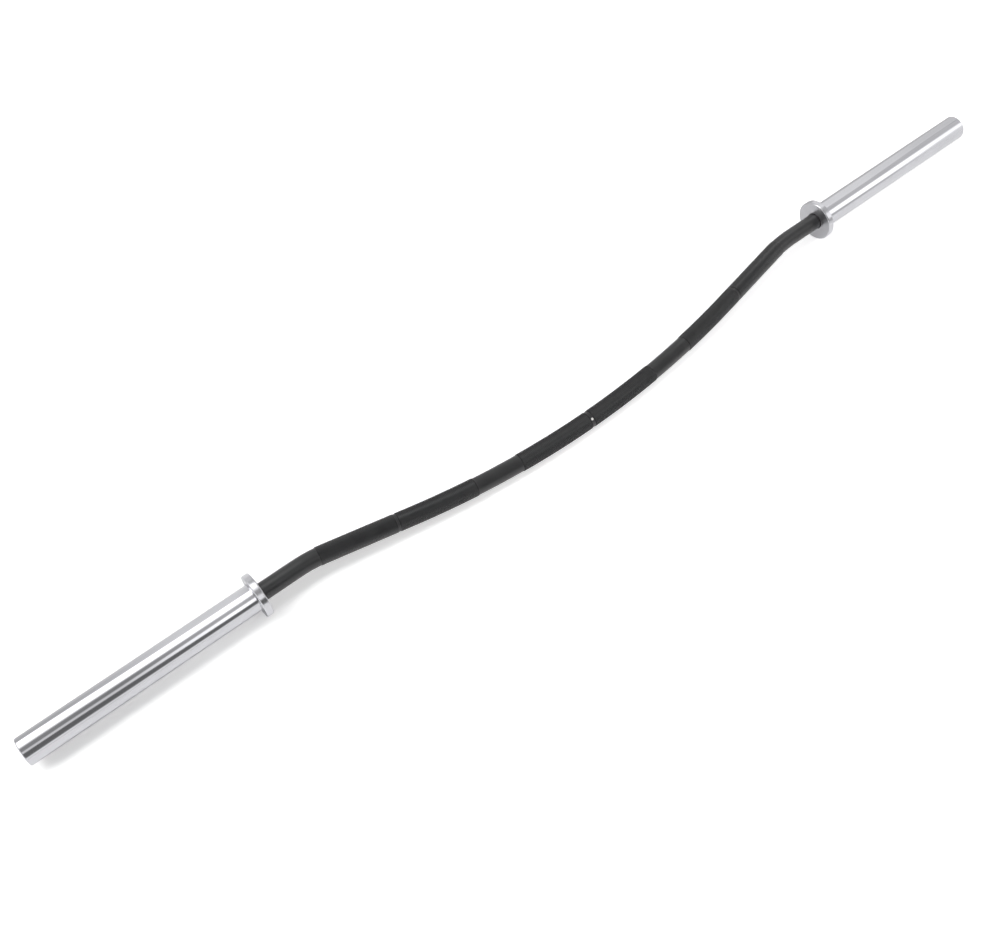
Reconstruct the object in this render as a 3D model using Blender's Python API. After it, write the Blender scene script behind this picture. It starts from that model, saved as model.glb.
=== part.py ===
"""Buffalo bar: a cambered barbell shaft with a turning 50 mm sleeve at each end.

Metres, +Z up. The bar lies as it comes to rest on a floor: on both collars and on
the middle of its camber, so the camber leans over towards -Y. Both sleeves turn
about one axis, parallel to X. The origin is under the middle of the bar's box.
"""

import math

import bmesh
import bpy
from mathutils import Matrix, Vector

# Bar
COLLAR_GAP = 1.310
PLATE_LENGTH = 0.415
FIT_GAP = 0.0003

# Shaft: its radii, and places measured along its centre line from its middle
SHAFT_R = 0.0160
KNURL_R = 0.0168
CENTRE_KNURL_END = 0.1575
SIDE_KNURL_START = 0.251
SIDE_KNURL_END = 0.550
RING_MARK_PLACE = 0.405
RING_MARK_WIDTH = 0.005
CENTRE_RING_WIDTH = 0.0065
KNURL_CHAMFER = 0.0008

# Camber: a long arc, two straight runs and a reverse bend at each end
ARC_RADIUS = 1.950
BEND_RADIUS = 0.300
BEND_ANGLE = math.radians(11.0)
STUB_LENGTH = 0.068

# Journal that the sleeve turns on, measured outwards from the collar's inboard face
SHOULDER_PLACE = 0.0043
JOURNAL_R = 0.0140
JOURNAL_END = 0.402
JOURNAL_CHAMFER = 0.0015
SHAFT_GROOVE_R = 0.0130
SHAFT_GROOVE_PLACE = 0.394

# Collar and sleeve
COLLAR_R = 0.0400
COLLAR_THICK = 0.013
COLLAR_LIP = 0.004
COLLAR_LIP_R = 0.0167
COLLAR_CHAMFER = 0.0014
SLEEVE_R = 0.025
SLEEVE_BORE_R = 0.018
SLEEVE_EDGE = 0.002
SLEEVE_EDGE_STEPS = 3
CAP_SEAT_R = 0.021
CAP_SEAT_DEPTH = 0.0095
CAP_GROOVE_DEPTH = 0.0012

# Parts inside the sleeve
BUSHING_LENGTH = 0.060
WASHER_THICK = 0.002

# Rubber dust seal in its seat behind the collar's lip, sloped towards the shaft
SEAL_SEAT_R = 0.0190
SEAL_SEAT_START = 0.0012
SEAL_DEPTH = 0.0022
SEAL_LIP_LENGTH = 0.0010
SEAL_LIP_RISE = 0.0006

# End cap, dished and dimpled on its outer face
CAP_THICK = 0.0043
CAP_RIM_R = 0.0158
CAP_DISH_R = 0.0150
CAP_DISH_DEPTH = 0.0008
CAP_DIMPLE_R = 0.0020
CAP_DIMPLE_DEPTH = 0.0010

# Retaining rings: open rings of spring steel with a lug at each side of the gap.
# Their angles are in degrees, from the middle of the gap
RING_THICK = 0.002
RING_HALF_GAP = 17.0
RING_SEAT_START = 21.0
SHAFT_RING_FREE_R = 0.0164
SHAFT_RING_LUG_PLACE = 0.0155
SHAFT_RING_LUG_R = 0.0019
SHAFT_RING_HOLE_R = 0.0008
CAP_RING_FREE_R = 0.0188
CAP_RING_LUG_PLACE = 0.0184
CAP_RING_LUG_R = 0.0025
CAP_RING_HOLE_R = 0.0011

# White plug in the centre ring, that marks the middle of the shaft
MARK_R = 0.0024
MARK_DEPTH = 0.0012
MARK_PROUD = 0.0003
MARK_CROWN = 0.7
MARK_TURN = math.radians(15.0)

# Facets
SLEEVE_SIDES = 48
SHAFT_SIDES = 32
MARK_SIDES = 16
RING_STEPS = 23
LUG_STEPS = 7
ARC_STEP = 0.034
BEND_STEP = 0.0115
SMOOTH_ANGLE = math.radians(30.0)
MERGE = 0.000001

# Camber worked out from the sizes above
COLLAR_FACE = COLLAR_GAP / 2
BEND_END = COLLAR_FACE - STUB_LENGTH
BOTH_RADII = ARC_RADIUS + BEND_RADIUS
STRAIGHT = (BEND_END - BOTH_RADII * math.sin(BEND_ANGLE)) / math.cos(BEND_ANGLE)
DEPTH = BOTH_RADII * (1 - math.cos(BEND_ANGLE)) + STRAIGHT * math.sin(BEND_ANGLE)
ARC_LENGTH = ARC_RADIUS * BEND_ANGLE
BEND_LENGTH = BEND_RADIUS * BEND_ANGLE
BEND_START_RUN = ARC_LENGTH + STRAIGHT
BEND_END_RUN = BEND_START_RUN + BEND_LENGTH
COLLAR_RUN = BEND_END_RUN + STUB_LENGTH

# Pose on the floor: the knurl's underside and both collars touch it
LEAN = math.asin((COLLAR_R - KNURL_R) / DEPTH)
AXIS_Y = (DEPTH * math.cos(LEAN) + KNURL_R - COLLAR_R) / 2
AXIS_Z = COLLAR_R
CAMBER_NORMAL = Vector((0, -math.sin(LEAN), math.cos(LEAN)))
CAMBER_OUT = Vector((0, -math.cos(LEAN), -math.sin(LEAN)))

# Places along the sleeve, measured outwards from the collar's inboard face
SEAL_START = SEAL_SEAT_START + FIT_GAP
SLEEVE_START = COLLAR_LIP + FIT_GAP
SLEEVE_END = COLLAR_THICK + PLATE_LENGTH
CAP_SEAT = SLEEVE_END - CAP_SEAT_DEPTH
CAP_START = CAP_SEAT + FIT_GAP
CAP_END = CAP_START + CAP_THICK
CAP_RING_START = CAP_END + FIT_GAP
INNER_WASHER = SHOULDER_PLACE + FIT_GAP
INNER_BUSHING = INNER_WASHER + WASHER_THICK + FIT_GAP
OUTER_WASHER = SHAFT_GROOVE_PLACE - FIT_GAP - WASHER_THICK
OUTER_BUSHING = OUTER_WASHER - FIT_GAP - BUSHING_LENGTH


def clear_scene():
    """Remove whatever the file opened with."""
    for found in list(bpy.data.objects):
        bpy.data.objects.remove(found)


def make_material(name, colour, metallic, roughness):
    """A Principled material of one colour."""
    made = bpy.data.materials.new(name)
    made.use_nodes = True
    shader = made.node_tree.nodes["Principled BSDF"]
    shader.inputs["Base Color"].default_value = (*colour, 1.0)
    shader.inputs["Metallic"].default_value = metallic
    shader.inputs["Roughness"].default_value = roughness
    return made


def to_mesh(bm, name, material):
    """Close a bmesh into a smooth-shaded mesh with crisp edges."""
    bmesh.ops.remove_doubles(bm, verts=bm.verts, dist=MERGE)
    bmesh.ops.recalc_face_normals(bm, faces=bm.faces)
    mesh = bpy.data.meshes.new(name)
    bm.to_mesh(mesh)
    bm.free()
    mesh.materials.append(material)
    mesh.shade_smooth()
    mesh.set_sharp_from_angle(angle=SMOOTH_ANGLE)
    return mesh


def place(name, mesh, parent=None, matrix=None):
    """Put a mesh into the scene as a named object."""
    made = bpy.data.objects.new(name, mesh)
    bpy.context.scene.collection.objects.link(made)
    made.parent = parent
    if matrix is not None:
        made.matrix_local = matrix
    return made


def turned(name, outline, sides, material):
    """Turn an (x, radius) outline about the X axis.

    An outline that starts on the axis ends there too, and stays open. Any other
    outline is a closed loop, the section of a ring.
    """
    bm = bmesh.new()
    points = [bm.verts.new((x, 0, radius)) for x, radius in outline]
    ends = points[1:] if outline[0][1] == 0 else points[1:] + points[:1]
    edges = [bm.edges.new(pair) for pair in zip(points, ends)]
    bmesh.ops.spin(
        bm,
        geom=points + edges,
        cent=(0, 0, 0),
        axis=(1, 0, 0),
        angle=math.tau,
        steps=sides,
        use_merge=True,
    )
    return to_mesh(bm, name, material)


def camber_point(run):
    """Follow the shaft's centre line from its middle.

    run is the distance along it, negative on the left. Gives the place along the
    bar, the depth below the sleeves' axis in the camber's plane, and the slope.
    """
    side = math.copysign(1, run)
    run = abs(run)
    if run < ARC_LENGTH:
        slope = run / ARC_RADIUS
        along = ARC_RADIUS * math.sin(slope)
        depth = DEPTH - ARC_RADIUS * (1 - math.cos(slope))
    elif run < BEND_START_RUN:
        slope = BEND_ANGLE
        left = BEND_START_RUN - run
        along = BEND_END - BEND_RADIUS * math.sin(slope) - left * math.cos(slope)
        depth = BEND_RADIUS * (1 - math.cos(slope)) + left * math.sin(slope)
    elif run < BEND_END_RUN:
        slope = (BEND_END_RUN - run) / BEND_RADIUS
        along = BEND_END - BEND_RADIUS * math.sin(slope)
        depth = BEND_RADIUS * (1 - math.cos(slope))
    else:
        slope = 0.0
        along = BEND_END + run - BEND_END_RUN
        depth = 0.0
    return side * along, depth, side * slope


def station(run, radius):
    """Matrix of the shaft's round section at a distance from its middle."""
    along, depth, slope = camber_point(run)
    centre = Vector((along, AXIS_Y, AXIS_Z)) + CAMBER_OUT * depth
    forward = Vector((math.cos(slope), 0, 0)) - CAMBER_OUT * math.sin(slope)
    inward = forward.cross(CAMBER_NORMAL)
    up = CAMBER_NORMAL * math.cos(LEAN) - inward * math.sin(LEAN)
    across = forward.cross(up)
    turn = Matrix((up, across, forward)).transposed().to_4x4()
    return Matrix.Translation(centre) @ turn @ Matrix.Scale(radius, 4)


def shaft_bands():
    """Half of the shaft from its middle outwards: where each band ends, its radius."""
    ring_in = RING_MARK_PLACE - RING_MARK_WIDTH / 2
    ring_out = RING_MARK_PLACE + RING_MARK_WIDTH / 2
    return [
        (CENTRE_RING_WIDTH / 2, SHAFT_R),
        (CENTRE_KNURL_END, KNURL_R),
        (SIDE_KNURL_START, SHAFT_R),
        (ring_in, KNURL_R),
        (ring_out, SHAFT_R),
        (SIDE_KNURL_END, KNURL_R),
        (COLLAR_RUN + SHOULDER_PLACE, SHAFT_R),
    ]


def shaft_rows():
    """(distance, radius) of every section of half the shaft, middle outwards."""
    bands = shaft_bands()
    rows = [(0.0, SHAFT_R)]
    for (edge, radius), (_, after) in zip(bands, bands[1:]):
        rows.append((edge - KNURL_CHAMFER / 2, radius))
        rows.append((edge + KNURL_CHAMFER / 2, after))

    curved = [step * ARC_STEP for step in range(1, int(ARC_LENGTH / ARC_STEP) + 1)]
    curved += [ARC_LENGTH, BEND_START_RUN, BEND_END_RUN]
    bend_steps = int(BEND_LENGTH / BEND_STEP)
    curved += [BEND_START_RUN + step * BEND_STEP for step in range(1, bend_steps + 1)]
    for run in curved:
        clear = all(abs(run - edge) > RING_MARK_WIDTH for edge, _ in bands)
        if clear and run < COLLAR_RUN:
            radius = next(radius for edge, radius in bands if run < edge)
            rows.append((run, radius))
    rows.sort(key=lambda row: row[0])

    shoulder = COLLAR_RUN + SHOULDER_PLACE
    groove_start = COLLAR_RUN + SHAFT_GROOVE_PLACE - FIT_GAP
    groove_end = groove_start + RING_THICK + 2 * FIT_GAP
    end = COLLAR_RUN + JOURNAL_END
    return rows + [
        (shoulder, SHAFT_R),
        (shoulder, JOURNAL_R),
        (groove_start, JOURNAL_R),
        (groove_start, SHAFT_GROOVE_R),
        (groove_end, SHAFT_GROOVE_R),
        (groove_end, JOURNAL_R),
        (end - JOURNAL_CHAMFER, JOURNAL_R),
        (end, JOURNAL_R - JOURNAL_CHAMFER),
    ]


def make_shaft(material):
    """Sweep one round section from end to end of the camber."""
    half = shaft_rows()
    rows = [(-run, radius) for run, radius in reversed(half[1:])] + half
    places = [station(run, radius) for run, radius in rows]

    bm = bmesh.new()
    first = bmesh.ops.create_circle(
        bm, cap_ends=True, segments=SHAFT_SIDES, radius=1, matrix=places[0]
    )
    rim = [edge for edge in bm.edges if edge.verts[0] in first["verts"]]
    for before, after in zip(places, places[1:]):
        grown = bmesh.ops.extrude_edge_only(bm, edges=rim)["geom"]
        moved = [part for part in grown if isinstance(part, bmesh.types.BMVert)]
        rim = [
            part
            for part in grown
            if isinstance(part, bmesh.types.BMEdge)
            and all(vert in moved for vert in part.verts)
        ]
        matrix = after @ before.inverted()
        bmesh.ops.transform(bm, matrix=matrix, verts=moved)
    bmesh.ops.contextual_create(bm, geom=rim)
    shaft = place("shaft", to_mesh(bm, "shaft", material))

    hole = shaft.modifiers.new("mark_hole", "BOOLEAN")
    hole.operation = "DIFFERENCE"
    hole.solver = "EXACT"
    hole.object = make_mark_cutter()
    return shaft


def mark_matrix():
    """Place of the centre mark: on the shaft's axis, X pointing out through it."""
    out = CAMBER_NORMAL * math.cos(MARK_TURN) + CAMBER_OUT * math.sin(MARK_TURN)
    centre = Vector((0, AXIS_Y, AXIS_Z)) + CAMBER_OUT * DEPTH
    turn = out.to_track_quat("X", "Z").to_matrix().to_4x4()
    return Matrix.Translation(centre) @ turn


def make_mark_cutter():
    """Drill for the blind hole that the centre mark is pressed into."""
    floor = SHAFT_R - MARK_DEPTH - FIT_GAP
    top = SHAFT_R + 2 * MARK_DEPTH
    radius = MARK_R + FIT_GAP
    outline = [(floor, 0), (floor, radius), (top, radius), (top, 0)]
    mesh = turned("mark_cutter", outline, MARK_SIDES, None)
    cutter = place("mark_cutter", mesh, matrix=mark_matrix())
    cutter.hide_render = True
    cutter.display_type = "WIRE"
    return cutter


def make_mark(material):
    """White plug with a slightly domed top."""
    floor = SHAFT_R - MARK_DEPTH
    top = SHAFT_R + MARK_PROUD
    outline = [
        (floor, 0),
        (floor, MARK_R),
        (SHAFT_R, MARK_R),
        (top - MARK_PROUD / 3, MARK_R * MARK_CROWN),
        (top, 0),
    ]
    mesh = turned("centre_mark", outline, MARK_SIDES, material)
    return place("centre_mark", mesh, matrix=mark_matrix())


def collar_mesh(material):
    """Flange that stops the plates, bored for the seal and the sleeve behind a lip."""
    seat_r = SLEEVE_R + FIT_GAP
    edge = COLLAR_CHAMFER
    outline = [
        (0, COLLAR_LIP_R + edge / 3),
        (edge / 3, COLLAR_LIP_R),
        (SEAL_SEAT_START, COLLAR_LIP_R),
        (SEAL_SEAT_START, SEAL_SEAT_R),
        (COLLAR_LIP, SEAL_SEAT_R),
        (COLLAR_LIP, seat_r),
        (COLLAR_THICK, seat_r),
        (COLLAR_THICK, COLLAR_R - edge),
        (COLLAR_THICK - edge, COLLAR_R),
        (edge, COLLAR_R),
        (0, COLLAR_R - edge),
    ]
    return turned("collar", outline, SLEEVE_SIDES, material)


def sleeve_mesh(material):
    """Sleeve tube with a rounded lip, a cap seat and the cap ring's groove."""
    groove_r = CAP_SEAT_R + CAP_GROOVE_DEPTH
    groove_start = CAP_RING_START - FIT_GAP
    groove_end = CAP_RING_START + RING_THICK + FIT_GAP
    edge = SLEEVE_EDGE
    outline = [
        (SLEEVE_START, SLEEVE_BORE_R),
        (CAP_SEAT, SLEEVE_BORE_R),
        (CAP_SEAT, CAP_SEAT_R),
        (groove_start, CAP_SEAT_R),
        (groove_start, groove_r),
        (groove_end, groove_r),
        (groove_end, CAP_SEAT_R),
        (SLEEVE_END - edge / 3, CAP_SEAT_R),
        (SLEEVE_END, CAP_SEAT_R + edge / 3),
    ]
    centre = (SLEEVE_END - edge, SLEEVE_R - edge)
    outline += arc(edge, 0, 90, SLEEVE_EDGE_STEPS, centre)
    outline += [
        (SLEEVE_START + FIT_GAP, SLEEVE_R),
        (SLEEVE_START, SLEEVE_R - FIT_GAP),
    ]
    return turned("sleeve", outline, SLEEVE_SIDES, material)


def ring_mesh(name, length, inner_r, outer_r, material):
    """Plain turned ring, for a bushing or a washer, from x = 0 outwards."""
    outline = [(0, inner_r), (length, inner_r), (length, outer_r), (0, outer_r)]
    return turned(name, outline, SHAFT_SIDES, material)


def seal_mesh(material):
    """Dust seal with a lip that slopes down to the shaft."""
    inner_r = SHAFT_R + FIT_GAP
    outer_r = SEAL_SEAT_R - FIT_GAP
    outline = [
        (0, inner_r + SEAL_LIP_RISE),
        (SEAL_LIP_LENGTH, inner_r),
        (SEAL_DEPTH, inner_r),
        (SEAL_DEPTH, outer_r),
        (0, outer_r),
    ]
    return turned("dust_seal", outline, SHAFT_SIDES, material)


def cap_mesh(material):
    """End cap: a disc with a raised rim and a turned dimple in its middle."""
    outer_r = CAP_SEAT_R - FIT_GAP
    sunk = CAP_THICK - CAP_DISH_DEPTH
    outline = [
        (0, 0),
        (0, outer_r),
        (CAP_THICK, outer_r),
        (CAP_THICK, CAP_RIM_R),
        (sunk, CAP_DISH_R),
        (sunk, CAP_DIMPLE_R),
        (sunk - CAP_DIMPLE_DEPTH, 0),
    ]
    return turned("end_cap", outline, SLEEVE_SIDES, material)


def arc(radius, start, end, steps, centre=(0, 0)):
    """Points of an arc, in degrees, about a centre."""
    found = []
    for step in range(steps + 1):
        angle = math.radians(start + (end - start) * step / steps)
        found.append(
            (centre[0] + radius * math.cos(angle), centre[1] + radius * math.sin(angle))
        )
    return found


def retaining_ring_mesh(name, seat_r, free_r, lug_place, lug_r, hole_r, material):
    """Open spring ring with a lug and a plier hole at each side of its gap.

    seat_r is the radius that sits in the groove, and free_r the other one. The
    lugs swell past free_r: outwards on a shaft's ring, inwards on a bore's ring.
    """
    gap = RING_HALF_GAP
    lug_x = lug_place * math.cos(math.radians(gap))
    lug_z = lug_place * math.sin(math.radians(gap))
    free_start = gap + math.degrees(lug_r / free_r)
    # the lug's edge runs from its free side round the gap to its seat side
    if free_r > seat_r:
        lug_edge = arc(lug_r, gap, gap - 180, LUG_STEPS, (lug_x, lug_z))
    else:
        lug_edge = arc(lug_r, gap - 180, gap, LUG_STEPS, (lug_x, lug_z))
    outline = arc(free_r, 360 - free_start, free_start, RING_STEPS)
    outline += lug_edge
    outline += arc(seat_r, RING_SEAT_START, 360 - RING_SEAT_START, RING_STEPS)
    outline += [(x, -z) for x, z in reversed(lug_edge)]

    bm = bmesh.new()
    loops = [outline]
    for side in (1, -1):
        hole = arc(hole_r, 0, 360, LUG_STEPS + 1, (lug_x, side * lug_z))
        loops.append(hole[:-1])
    edges = []
    for loop in loops:
        verts = [bm.verts.new((0, x, z)) for x, z in loop]
        edges += [bm.edges.new(pair) for pair in zip(verts, verts[1:] + verts[:1])]
    bmesh.ops.triangle_fill(bm, use_beauty=True, edges=edges)
    sheet = list(bm.faces) + list(bm.edges)
    grown = bmesh.ops.extrude_face_region(bm, geom=sheet, use_keep_orig=True)["geom"]
    moved = [part for part in grown if isinstance(part, bmesh.types.BMVert)]
    bmesh.ops.translate(bm, vec=(RING_THICK, 0, 0), verts=moved)
    return to_mesh(bm, name, material)


def make_ends(materials):
    """Sleeve assembly of both ends, each on an empty at its collar's inboard face.

    The empties lie on the sleeves' axis with X pointing outwards, so one mesh
    serves both ends.
    """
    steel, spring = materials["steel"], materials["spring_steel"]
    bore_r = SLEEVE_BORE_R - FIT_GAP
    journal_r = JOURNAL_R + FIT_GAP
    bushing = ring_mesh(
        "bushing", BUSHING_LENGTH, journal_r, bore_r, materials["bronze"]
    )
    washer = ring_mesh("thrust_washer", WASHER_THICK, journal_r, bore_r, steel)
    shaft_ring = retaining_ring_mesh(
        "shaft_ring",
        SHAFT_GROOVE_R + FIT_GAP,
        SHAFT_RING_FREE_R,
        SHAFT_RING_LUG_PLACE,
        SHAFT_RING_LUG_R,
        SHAFT_RING_HOLE_R,
        spring,
    )
    cap_ring = retaining_ring_mesh(
        "cap_ring",
        CAP_SEAT_R + CAP_GROOVE_DEPTH - FIT_GAP,
        CAP_RING_FREE_R,
        CAP_RING_LUG_PLACE,
        CAP_RING_LUG_R,
        CAP_RING_HOLE_R,
        spring,
    )
    pieces = {
        "collar": (collar_mesh(materials["chrome"]), 0),
        "sleeve": (sleeve_mesh(materials["chrome"]), 0),
        "dust_seal": (seal_mesh(materials["rubber"]), SEAL_START),
        "inner_bushing": (bushing, INNER_BUSHING),
        "outer_bushing": (bushing, OUTER_BUSHING),
        "inner_thrust_washer": (washer, INNER_WASHER),
        "outer_thrust_washer": (washer, OUTER_WASHER),
        "shaft_retaining_ring": (shaft_ring, SHAFT_GROOVE_PLACE),
        "end_cap": (cap_mesh(steel), CAP_START),
        "end_cap_retaining_ring": (cap_ring, CAP_RING_START),
    }
    for side, turn in (("left", math.pi), ("right", 0)):
        hub = bpy.data.objects.new(f"{side}_sleeve_axis", None)
        bpy.context.scene.collection.objects.link(hub)
        outwards = Matrix.Rotation(turn, 4, "Z")
        face = outwards @ Vector((COLLAR_FACE, 0, 0))
        hub.location = face + Vector((0, AXIS_Y, AXIS_Z))
        hub.rotation_euler = (0, 0, turn)
        for name, (mesh, offset) in pieces.items():
            matrix = Matrix.Translation((offset, 0, 0))
            place(f"{side}_{name}", mesh, parent=hub, matrix=matrix)


def main():
    """Build the bar."""
    clear_scene()
    materials = {
        "black_oxide": make_material("black_oxide", (0.032, 0.032, 0.034), 0.9, 0.45),
        "chrome": make_material("chrome", (0.60, 0.60, 0.61), 1.0, 0.08),
        "bronze": make_material("bronze", (0.45, 0.25, 0.10), 1.0, 0.35),
        "steel": make_material("steel", (0.42, 0.42, 0.43), 1.0, 0.30),
        "spring_steel": make_material("spring_steel", (0.06, 0.06, 0.065), 0.9, 0.40),
        "rubber": make_material("rubber", (0.015, 0.015, 0.015), 0.0, 0.80),
        "white_mark": make_material("white_mark", (0.85, 0.85, 0.83), 0.0, 0.35),
    }
    make_shaft(materials["black_oxide"])
    make_mark(materials["white_mark"])
    make_ends(materials)


main()
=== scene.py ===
"""Buffalo bar: the finishes and fine forms of a cambered barbell, in a white studio.

Metres, +Z up, +X along the bar. The pieces are made as a workshop makes them: turned
and knurled on a straight bar, then bent to the camber. Each operator makes one group
of pieces and hangs it on the body of the frame that carries it.
"""

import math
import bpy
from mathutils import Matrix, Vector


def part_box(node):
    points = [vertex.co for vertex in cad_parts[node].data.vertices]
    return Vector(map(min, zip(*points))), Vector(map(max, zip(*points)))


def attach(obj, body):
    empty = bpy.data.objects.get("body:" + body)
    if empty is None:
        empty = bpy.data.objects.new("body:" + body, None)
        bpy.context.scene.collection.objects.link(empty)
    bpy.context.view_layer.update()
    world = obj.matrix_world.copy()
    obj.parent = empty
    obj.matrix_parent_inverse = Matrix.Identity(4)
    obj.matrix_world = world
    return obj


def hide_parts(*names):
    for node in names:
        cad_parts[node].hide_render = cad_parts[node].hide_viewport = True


bl_info = {
    "name": "Buffalo Bar",
    "version": (1, 0, 0),
    "blender": (4, 5, 0),
    "location": "3D View > Sidebar > Bar",
    "description": "Knurled shaft, chrome sleeves and bearings of a cambered barbell",
    "category": "Object",
}

from functools import lru_cache

import bmesh
import bpy
from bpy.props import FloatProperty, FloatVectorProperty, IntProperty, PointerProperty
from mathutils import Matrix, Vector

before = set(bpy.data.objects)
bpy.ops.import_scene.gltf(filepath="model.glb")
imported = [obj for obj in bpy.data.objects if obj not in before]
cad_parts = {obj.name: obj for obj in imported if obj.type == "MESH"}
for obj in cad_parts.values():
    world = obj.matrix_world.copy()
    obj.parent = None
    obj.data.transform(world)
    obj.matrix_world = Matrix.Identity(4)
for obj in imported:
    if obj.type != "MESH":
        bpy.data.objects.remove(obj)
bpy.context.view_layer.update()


def turned_size(node):
    """Start and end of a right-hand turned node along X, and its outer radius."""
    low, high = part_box(node)
    return low.x, high.x, (high.z - low.z) / 2


def linear(code):
    """Linear colour of an sRGB hex value."""
    parts = [int(code[place : place + 2], 16) / 255 for place in (1, 3, 5)]
    return tuple(
        part / 12.92 if part <= 0.04045 else ((part + 0.055) / 1.055) ** 2.4
        for part in parts
    )


# Sleeves' axis and the collar, from the frame, with its lip and the seal's seat
COLLAR_LOW, COLLAR_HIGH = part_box("right_collar")
AXIS_Y = (COLLAR_LOW.y + COLLAR_HIGH.y) / 2
AXIS_Z = (COLLAR_LOW.z + COLLAR_HIGH.z) / 2
COLLAR_FACE, COLLAR_BACK, COLLAR_R = turned_size("right_collar")
COLLAR_LIP = 0.004
COLLAR_LIP_R = 0.0167
COLLAR_CHAMFER = 0.0014
SEAL_SEAT_R = 0.0190
SEAL_SEAT_START = 0.0012

# Sleeve, from the frame, with its bore and the seat of its end cap
SLEEVE_START, SLEEVE_END, SLEEVE_R = turned_size("right_sleeve")
SLEEVE_BORE_R = 0.018
SLEEVE_EDGE = 0.002
SLEEVE_DEBURRING = 0.0001
CAP_START, CAP_END, CAP_R = turned_size("right_end_cap")
CAP_RING_START, CAP_RING_END, CAP_RING_R = turned_size("right_end_cap_retaining_ring")
CAP_RIM_R = 0.0158
CAP_DISH_R = 0.0150
CAP_DISH_DEPTH = 0.0008
CAP_DIMPLE_R = 0.0020
CAP_DIMPLE_DEPTH = 0.0010
FIT_GAP = 0.0003

# Shaft: radii, and places measured along its centre line from its middle
SHAFT_R = 0.0160
KNURL_R = 0.0168
CENTRE_KNURL_END = 0.1575
SIDE_KNURL_START = 0.251
SIDE_KNURL_END = 0.550
RING_MARK_PLACE = 0.405
RING_MARK_WIDTH = 0.005
CENTRE_RING_WIDTH = 0.0065
SHOULDER_PLACE = 0.0043
JOURNAL_R = 0.0140
JOURNAL_CHAMFER = 0.0015
SHAFT_GROOVE_R = 0.0130

# Camber: a long arc, two straight runs and a reverse bend at each end
ARC_RADIUS = 1.950
BEND_RADIUS = 0.300
BEND_ANGLE = math.radians(11.0)
STUB_LENGTH = 0.068
BEND_END = COLLAR_FACE - STUB_LENGTH
BOTH_RADII = ARC_RADIUS + BEND_RADIUS
STRAIGHT = (BEND_END - BOTH_RADII * math.sin(BEND_ANGLE)) / math.cos(BEND_ANGLE)
DEPTH = BOTH_RADII * (1 - math.cos(BEND_ANGLE)) + STRAIGHT * math.sin(BEND_ANGLE)
ARC_LENGTH = ARC_RADIUS * BEND_ANGLE
BEND_START_RUN = ARC_LENGTH + STRAIGHT
BEND_END_RUN = BEND_START_RUN + BEND_RADIUS * BEND_ANGLE
COLLAR_RUN = BEND_END_RUN + STUB_LENGTH
LEAN = math.asin((COLLAR_R - KNURL_R) / DEPTH)
CAMBER_NORMAL = Vector((0, -math.sin(LEAN), math.cos(LEAN)))
CAMBER_OUT = Vector((0, -math.cos(LEAN), -math.sin(LEAN)))

# White plug in the middle of the shaft
MARK_R = 0.0024
MARK_DEPTH = 0.0012
MARK_PROUD = 0.0003
MARK_RISE = MARK_PROUD + MARK_DEPTH / 4
MARK_TURN = math.radians(15.0)

# Dust seal's sloped lip, and how far its edges are rounded
SEAL_LIP_LENGTH = 0.0010
SEAL_LIP_RISE = 0.0006
SEAL_EDGE = FIT_GAP / 2

# Retaining rings: half the gap and the start of the seat, in degrees, and each ring's
# radii of the seat and of the free edge, place and radius of its lugs, and plier hole
RING_HALF_GAP = 17.0
RING_SEAT_START = 21.0
SHAFT_RING_SIZES = (SHAFT_GROOVE_R + FIT_GAP, 0.0164, 0.0155, 0.0019, 0.0008)
CAP_RING_SIZES = (CAP_RING_R, 0.0188, 0.0184, 0.0025, 0.0011)

# Fineness of the turned shapes, and steps of the arcs and of the rounded edges
TURNED_SIDES = 128
SHAFT_SIDES = 96
BEARING_SIDES = 96
MARK_SIDES = 48
SHAFT_ROW = 0.006
SLEEVE_EDGE_STEPS = 10
MARK_STEPS = 6
RING_STEPS = 72
LUG_STEPS = 14
LUG_HOLE_STEPS = 16
EDGE_STEPS = 2

# Long runs of an outline, and how near to their ends they get a point of support
LONG_RUN = 0.009
SUPPORT = 0.0004

# Distance at which points are one, and angles of smooth shading and of crisp edges
WELD = 0.000002
SMOOTH_ANGLE = math.radians(28.0)
EDGE_ANGLE = math.radians(20.0)

# Finishes: a soft change, the usual range of a noise, the detail of each kind of noise,
# the lathe's rings, the roughness that a satin face adds, and the Mix node's sockets
SMOOTH = {"interpolation_type": "SMOOTHSTEP"}
NOISE_RANGE = {"From Min": 0.2, "From Max": 0.8}
BROAD = {"Detail": 1.0, "Roughness": 0.55}
PLAIN = {"Detail": 2.0, "Roughness": 0.55}
CLOUDY = {"Detail": 3.0, "Roughness": 0.55}
DENSE = {"Detail": 4.0, "Roughness": 0.55}
POROUS = {"Detail": 4.0, "Roughness": 0.7}
LATHE_RINGS = {"wave_type": "RINGS", "rings_direction": "X"}
FACE_SATIN = 0.16
MIX_SHARE, MIX_ONE, MIX_OTHER, MIX_RESULT = 0, 6, 7, 2

# Background paper: half its width, its cells, the distances between which it fades to
# pure white, and the painted light that it adds, where seen and where mirrored, at the
# left end and at the right collar
PAPER_HALF = 12.0
PAPER_CELLS = 8
PAPER_FADE = (1.5, 2.9)
PAINTED_LIGHT_SEEN = (0.24, 0.6)
PAINTED_LIGHT_MIRRORED = (0.0, 0.2)
BACKGROUND_WHITE = 1.0

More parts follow.
